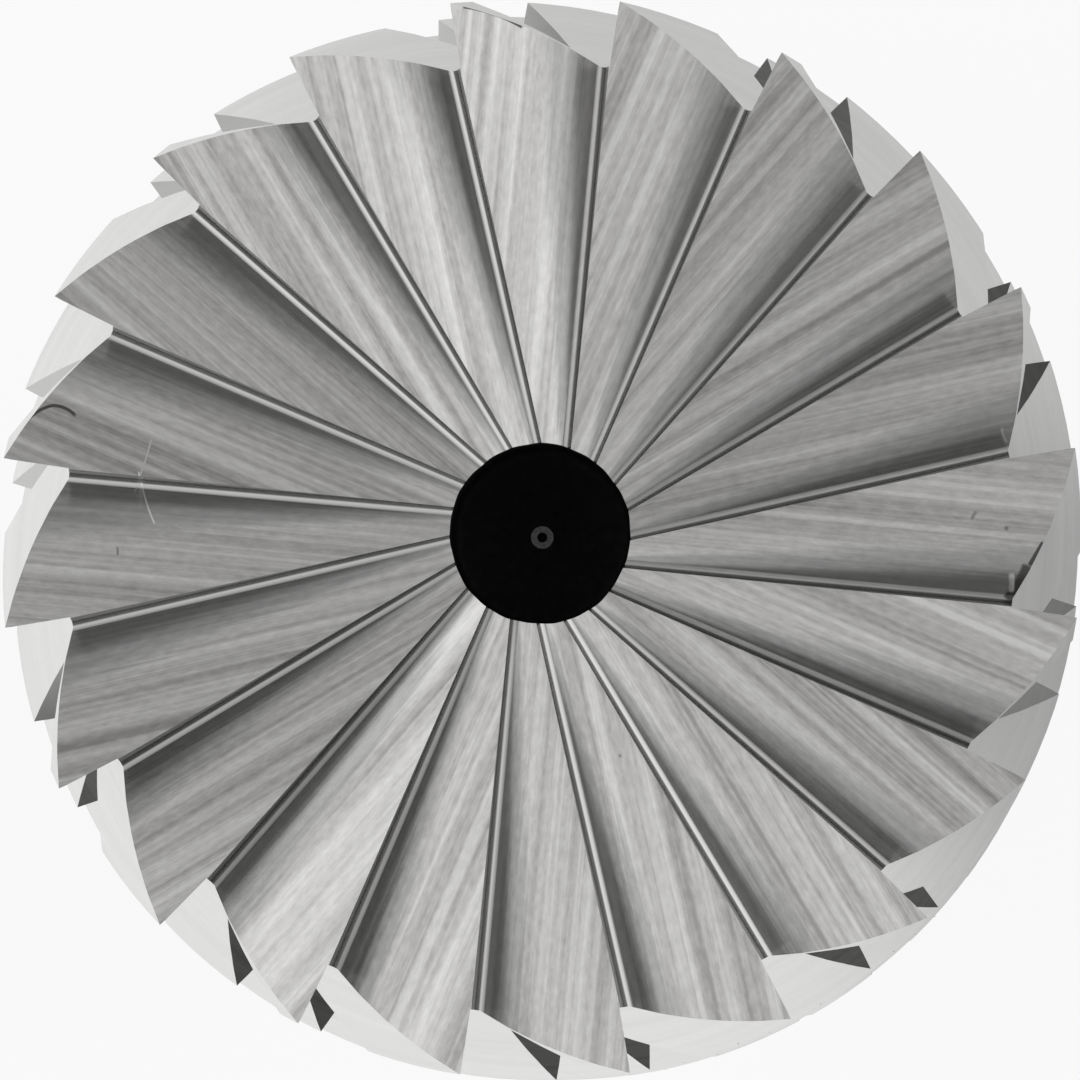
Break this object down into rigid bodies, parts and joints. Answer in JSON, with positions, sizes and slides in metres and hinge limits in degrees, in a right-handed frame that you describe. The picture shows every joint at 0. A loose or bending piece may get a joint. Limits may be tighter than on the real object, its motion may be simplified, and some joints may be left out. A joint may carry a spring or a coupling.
{
  "type": "rotary burr",
  "caption": "Cylindrical rotary burr: a ground carbide head with spiral side teeth, chip breakers and straight end teeth, brazed to a plain round steel shank.",
  "frame": {"origin": "centre of the shank's flat end, on the burr's axis", "axes": "+Z along the axis from the shank's end towards the end teeth; +Y is up in the picture, which looks down the axis at the end teeth"},
  "size_m": [0.012, 0.012, 0.07],
  "materials": {
    "tungsten_carbide": "bright ground cemented carbide with fine straight grinding lines, and a matte dark hole left by sintering",
    "silver_braze": "dull silver solder with a smooth hollow fillet",
    "shank_steel": "centreless ground tool steel, fine rings round the shank"
  },
  "bodies": {
    "root": {"cutting_head": "tungsten_carbide", "braze_seam": "silver_braze", "shank": "shank_steel"}
  },
  "joints": []
}
